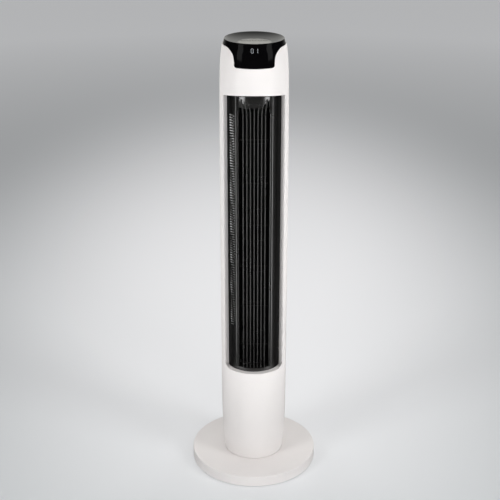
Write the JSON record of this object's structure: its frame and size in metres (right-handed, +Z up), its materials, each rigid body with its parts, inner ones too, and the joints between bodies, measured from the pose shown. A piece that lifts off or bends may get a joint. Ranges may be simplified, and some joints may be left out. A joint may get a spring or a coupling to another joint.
{
  "type": "tower fan",
  "caption": "Column fan on a round foot: dished control head, recessed louvred outlet, rear intake grille, swinging column and cross-flow impeller.",
  "frame": {"origin": "centre of the foot on the floor plane, under the column", "axes": "+Z up along the column, outlet facing -Y, +X to the right seen from the front"},
  "size_m": [0.3, 0.3, 1.045],
  "materials": {
    "white_abs": "fine satin, injection moulded",
    "black_abs": "satin, injection moulded",
    "gloss_black": "high gloss",
    "dark_abs": "moulded",
    "impeller_black": "moulded, glass filled",
    "rubber_black": "matt",
    "pom_white": "natural acetal",
    "steel": "zinc plated",
    "lamination": "stacked sheet",
    "copper": "enamelled winding",
    "bronze": "sintered, oil filled",
    "ballast_iron": "cast, painted",
    "motor_metal": "pressed",
    "pcb_green": "solder mask",
    "component_black": "moulded",
    "capacitor_white": "film case",
    "display_light": "lit segment",
    "cable_grey": "sheathed leads"
  },
  "bodies": {
    "base": {"base_cover": "white_abs", "base_plate": "dark_abs", "ballast_ring": "ballast_iron", "base_feet": "rubber_black", "base_screws": "steel", "pivot_post": "steel", "post_screws": "steel", "slotted_yoke": "pom_white", "glide_ring": "pom_white", "pivot_washer": "steel", "pivot_circlip": "steel", "cord_inlet": "rubber_black"},
    "crank": {"crank_arm": "pom_white", "crank_shaft": "steel", "crank_pin": "steel", "crank_roller": "pom_white"},
    "tower": {"turntable": "dark_abs", "front_shell": "white_abs", "rear_shell": "white_abs", "outlet_grille": "black_abs", "rear_grille": "black_abs", "duct_floor": "dark_abs", "duct_ceiling": "dark_abs", "scroll_wall": "dark_abs", "vortex_tongue": "dark_abs", "motor_stator": "lamination", "motor_windings": "copper", "motor_cap_upper": "motor_metal", "motor_cap_lower": "motor_metal", "motor_bearings": "bronze", "motor_screws": "steel", "top_bearing": "bronze", "bearing_rubber": "rubber_black", "oscillation_motor": "motor_metal", "oscillation_motor_screws": "steel", "power_board": "pcb_green", "power_board_components": "component_black", "run_capacitor": "capacitor_white", "control_board": "pcb_green", "tact_switches": "component_black", "control_housing": "gloss_black", "display_segments": "display_light", "display_module": "component_black", "display_board": "pcb_green", "wiring_harness": "cable_grey", "shell_screws": "steel"},
    "impeller": {"impeller_sections": "impeller_black", "impeller_base_disc": "impeller_black", "impeller_top_disc": "impeller_black", "impeller_top_shaft": "steel", "hub_insert": "bronze", "hub_damper": "rubber_black", "motor_shaft": "steel", "motor_rotor": "lamination"},
    "button_mode": {"button_mode": "gloss_black"},
    "button_timer": {"button_timer": "gloss_black"},
    "button_power": {"button_power": "gloss_black"},
    "button_speed": {"button_speed": "gloss_black"},
    "button_swing": {"button_swing": "gloss_black"}
  },
  "joints": [
    {"name": "oscillation", "type": "hinge", "parent": "base", "child": "tower", "pos_m": [0, 0, 0], "axis": [0, 0, 1], "range_deg": [-40, 40]},
    {"name": "crank_turn", "type": "hinge", "parent": "tower", "child": "crank", "pos_m": [0, 0.044, 0], "axis": [0, 0, 1], "range_deg": [-110, 110]},
    {"name": "fan_spin", "type": "hinge", "parent": "tower", "child": "impeller", "pos_m": [0, 0.004, 0], "axis": [0, 0, 1], "continuous": true},
    {"name": "mode_press", "type": "slide", "parent": "tower", "child": "button_mode", "axis": [0, 0, -1], "range_m": [0, 0.0008], "stiffness_N_per_m": 900},
    {"name": "timer_press", "type": "slide", "parent": "tower", "child": "button_timer", "axis": [0, 0, -1], "range_m": [0, 0.0008], "stiffness_N_per_m": 900},
    {"name": "power_press", "type": "slide", "parent": "tower", "child": "button_power", "axis": [0, 0, -1], "range_m": [0, 0.0008], "stiffness_N_per_m": 900},
    {"name": "speed_press", "type": "slide", "parent": "tower", "child": "button_speed", "axis": [0, 0, -1], "range_m": [0, 0.0008], "stiffness_N_per_m": 900},
    {"name": "swing_press", "type": "slide", "parent": "tower", "child": "button_swing", "axis": [0, 0, -1], "range_m": [0, 0.0008], "stiffness_N_per_m": 900}
  ],
  "couplings": [
    {"joint": "crank_turn", "follows": "oscillation", "ratio": -2.75}
  ]
}
